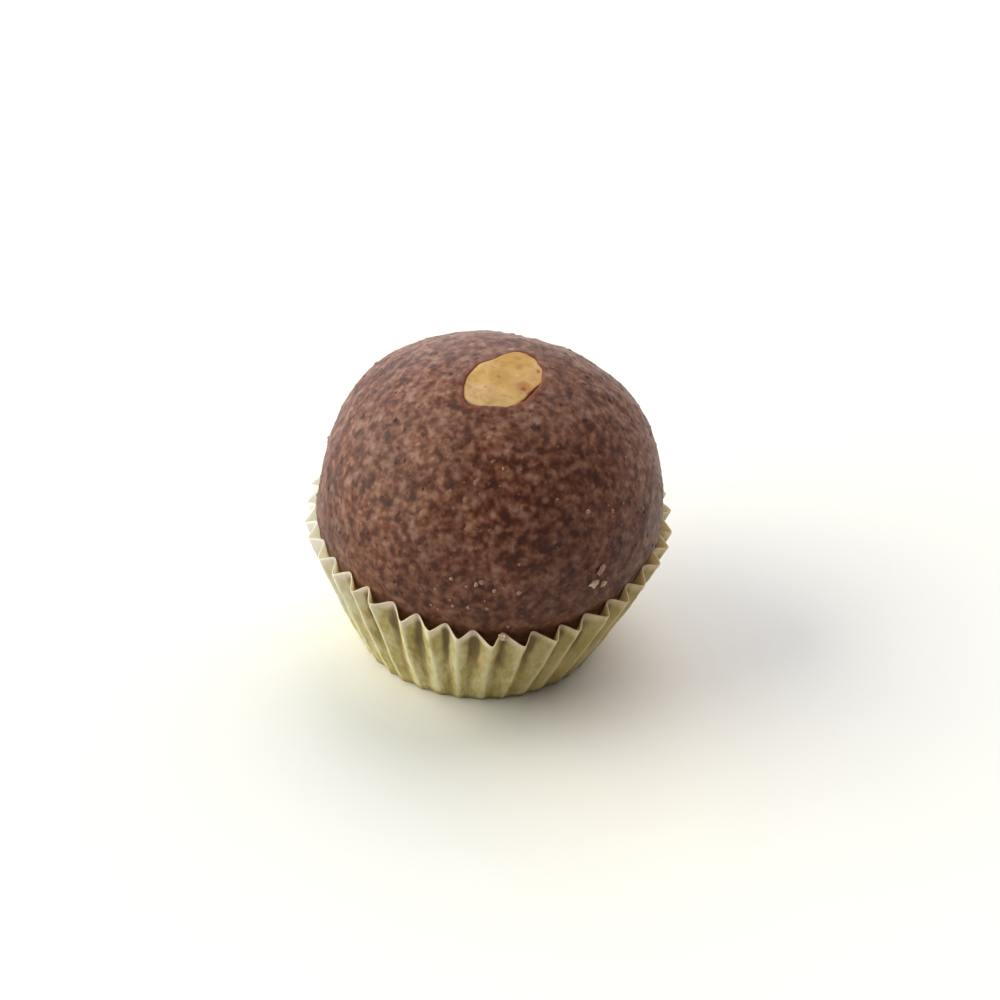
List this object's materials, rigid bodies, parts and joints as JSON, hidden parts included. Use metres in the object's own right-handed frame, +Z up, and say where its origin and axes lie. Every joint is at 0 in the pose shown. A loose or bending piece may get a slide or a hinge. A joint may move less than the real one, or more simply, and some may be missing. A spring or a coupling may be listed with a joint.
{
  "type": "ladoo",
  "caption": "Hand-rolled ball of coarse sweet meal with a split nut pressed flush into its top, seated in a round fluted paper case with a flat base.",
  "frame": {"origin": "middle of the flat underside of the paper case, on the surface it stands on", "axes": "+Z up through the ball; -Y is the front, the side seen in the picture; +X to the right seen from the front"},
  "size_m": [0.0506, 0.051, 0.0444],
  "materials": {
    "meal": "dull granular brown sweet meal, faintly oily",
    "nut": "satin cream-yellow cut nut",
    "paper": "oil-stained greaseproof paper, cream at the rim and khaki below"
  },
  "bodies": {
    "root": {"ladoo_ball": "meal", "nut_half": "nut", "paper_case": "paper"}
  },
  "joints": []
}
